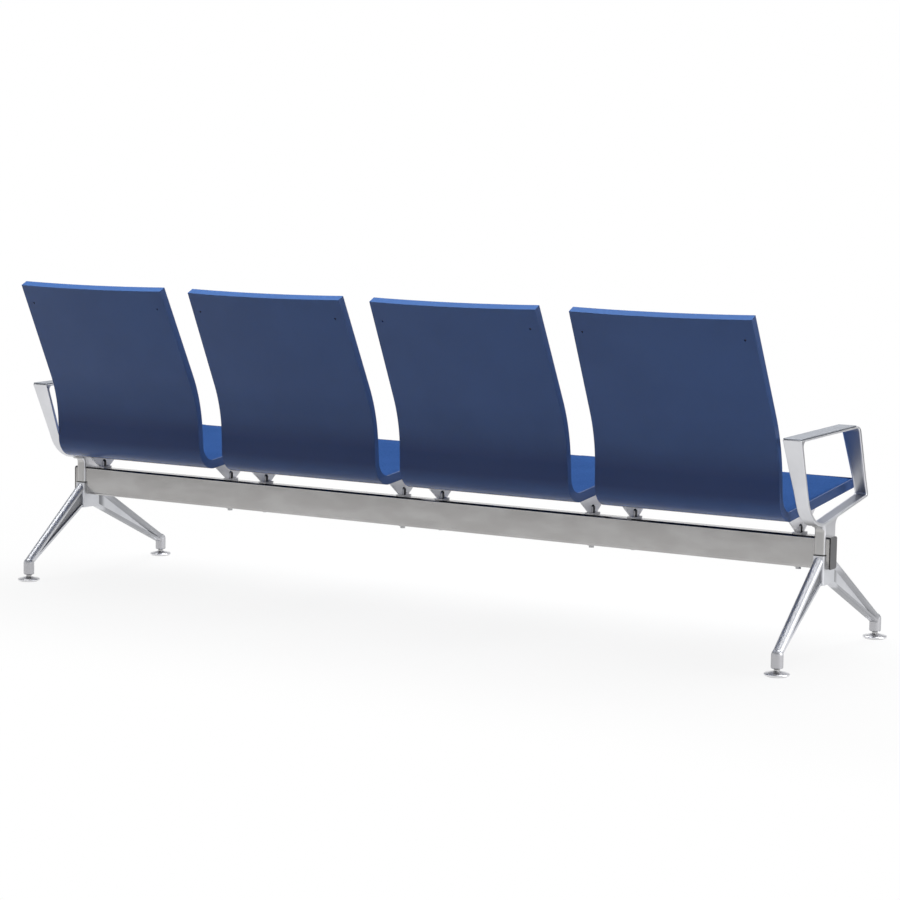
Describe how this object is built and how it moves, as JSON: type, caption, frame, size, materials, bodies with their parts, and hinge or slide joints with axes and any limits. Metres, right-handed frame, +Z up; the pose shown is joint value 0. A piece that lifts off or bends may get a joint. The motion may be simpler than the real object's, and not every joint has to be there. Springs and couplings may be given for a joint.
{
  "type": "beam seating",
  "caption": "Row of blue shell seats with upholstered pads on a polished beam, carried at each end by a cast leg and a looped armrest",
  "frame": {"origin": "on the floor under the middle of the bounding box", "axes": "+X along the beam towards a sitter's left, +Y towards the back of the seats, +Z up"},
  "size_m": [2.391, 0.725, 0.8569],
  "materials": {
    "seat_shell": "moulded dark slate-blue shell, satin",
    "seat_pad": "royal blue woven upholstery over foam",
    "core_steel": "black painted pressed steel",
    "cast_aluminium": "polished cast aluminium",
    "beam_steel": "polished plated steel tube",
    "armrest_plate": "brushed plate, dark satin",
    "bracket_grey": "light grey powder coat",
    "zinc_fastener": "zinc plated",
    "black_screw": "black oxide",
    "cap_plastic": "dark grey moulded plastic",
    "glide_chrome": "chrome plated",
    "glide_rubber": "black rubber",
    "stem_steel": "threaded steel, dark collar"
  },
  "bodies": {
    "bench": {"seat_shell_1": "seat_shell", "seat_core_1": "core_steel", "seat_pad_1": "seat_pad", "bracket_1_left": "bracket_grey", "bracket_1_right": "bracket_grey", "seat_shell_2": "seat_shell", "seat_core_2": "core_steel", "seat_pad_2": "seat_pad", "bracket_2_left": "bracket_grey", "bracket_2_right": "bracket_grey", "seat_shell_3": "seat_shell", "seat_core_3": "core_steel", "seat_pad_3": "seat_pad", "bracket_3_left": "bracket_grey", "bracket_3_right": "bracket_grey", "seat_shell_4": "seat_shell", "seat_core_4": "core_steel", "seat_pad_4": "seat_pad", "bracket_4_left": "bracket_grey", "bracket_4_right": "bracket_grey", "seat_bushes": "zinc_fastener", "seat_screws": "black_screw", "back_screws": "black_screw", "beam_tube": "beam_steel", "beam_cap_left": "cap_plastic", "bracket_bolts_left": "zinc_fastener", "arm_left": "cast_aluminium", "arm_top_left": "armrest_plate", "leg_left": "cast_aluminium", "beam_cap_right": "cap_plastic", "bracket_bolts_right": "zinc_fastener", "arm_right": "cast_aluminium", "arm_top_right": "armrest_plate", "leg_right": "cast_aluminium", "bolt_washers": "zinc_fastener", "arm_top_studs": "zinc_fastener", "clamp_bolts": "zinc_fastener", "clamp_washers": "zinc_fastener", "thread_bushes": "zinc_fastener"},
    "foot_left_rear": {"glide_pad_left_rear": "glide_chrome", "glide_rubber_left_rear": "glide_rubber"},
    "stem_left_rear": {"glide_stem_left_rear": "stem_steel"},
    "foot_left_front": {"glide_pad_left_front": "glide_chrome", "glide_rubber_left_front": "glide_rubber"},
    "stem_left_front": {"glide_stem_left_front": "stem_steel"},
    "foot_right_rear": {"glide_pad_right_rear": "glide_chrome", "glide_rubber_right_rear": "glide_rubber"},
    "stem_right_rear": {"glide_stem_right_rear": "stem_steel"},
    "foot_right_front": {"glide_pad_right_front": "glide_chrome", "glide_rubber_right_front": "glide_rubber"},
    "stem_right_front": {"glide_stem_right_front": "stem_steel"}
  },
  "joints": [
    {"name": "level_left_rear", "type": "slide", "parent": "bench", "child": "foot_left_rear", "axis": [0, 0, -1], "range_m": [0, 0.015]},
    {"name": "screw_left_rear", "type": "hinge", "parent": "foot_left_rear", "child": "stem_left_rear", "pos_m": [1.164, 0.271, 0.0122], "axis": [0, 0, -1], "range_deg": [0, 3600]},
    {"name": "level_left_front", "type": "slide", "parent": "bench", "child": "foot_left_front", "axis": [0, 0, -1], "range_m": [0, 0.015]},
    {"name": "screw_left_front", "type": "hinge", "parent": "foot_left_front", "child": "stem_left_front", "pos_m": [1.164, -0.331, 0.0122], "axis": [0, 0, -1], "range_deg": [0, 3600]},
    {"name": "level_right_rear", "type": "slide", "parent": "bench", "child": "foot_right_rear", "axis": [0, 0, -1], "range_m": [0, 0.015]},
    {"name": "screw_right_rear", "type": "hinge", "parent": "foot_right_rear", "child": "stem_right_rear", "pos_m": [-1.164, 0.271, 0.0122], "axis": [0, 0, -1], "range_deg": [0, 3600]},
    {"name": "level_right_front", "type": "slide", "parent": "bench", "child": "foot_right_front", "axis": [0, 0, -1], "range_m": [0, 0.015]},
    {"name": "screw_right_front", "type": "hinge", "parent": "foot_right_front", "child": "stem_right_front", "pos_m": [-1.164, -0.331, 0.0122], "axis": [0, 0, -1], "range_deg": [0, 3600]}
  ],
  "couplings": [
    {"joint": "screw_left_rear", "follows": "level_left_rear", "rad_per_m": 4188.7},
    {"joint": "screw_left_front", "follows": "level_left_front", "rad_per_m": 4188.7},
    {"joint": "screw_right_rear", "follows": "level_right_rear", "rad_per_m": 4188.7},
    {"joint": "screw_right_front", "follows": "level_right_front", "rad_per_m": 4188.7}
  ]
}
